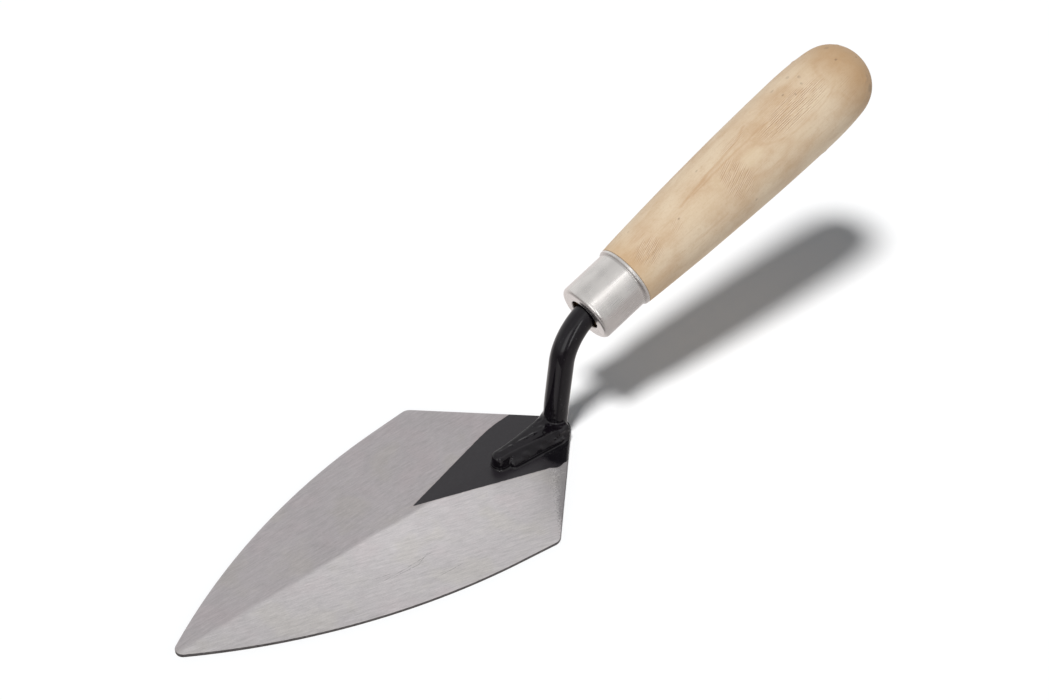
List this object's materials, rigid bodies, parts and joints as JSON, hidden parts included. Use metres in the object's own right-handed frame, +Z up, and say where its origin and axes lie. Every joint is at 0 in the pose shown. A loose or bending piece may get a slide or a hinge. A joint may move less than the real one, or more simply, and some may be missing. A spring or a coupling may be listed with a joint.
{
  "type": "brick trowel",
  "caption": "Pointed hand trowel: flat kite-shaped ground steel blade, cranked round shank welded to its heel, plated ferrule and turned wooden handle.",
  "frame": {"origin": "on the flat underside of the blade, on its centreline, under the line of its greatest width", "axes": "+X along the blade's centreline from the handle towards the tip, +Z up from the underside to the ground face and the handle, +Y across the blade"},
  "size_m": [0.2558, 0.0712, 0.0892],
  "materials": {
    "ground_steel": "fine linear grind, satin",
    "black_paint": "thick glossy black enamel",
    "weld_paint": "glossy black enamel over the weld bead",
    "plated_steel": "soft nickel plate, satin gloss",
    "pale_wood": "sanded pale hardwood, thin clear seal"
  },
  "bodies": {
    "root": {"blade": "ground_steel", "shank": "black_paint", "foot_weld": "weld_paint", "ferrule": "plated_steel", "handle": "pale_wood"}
  },
  "joints": []
}
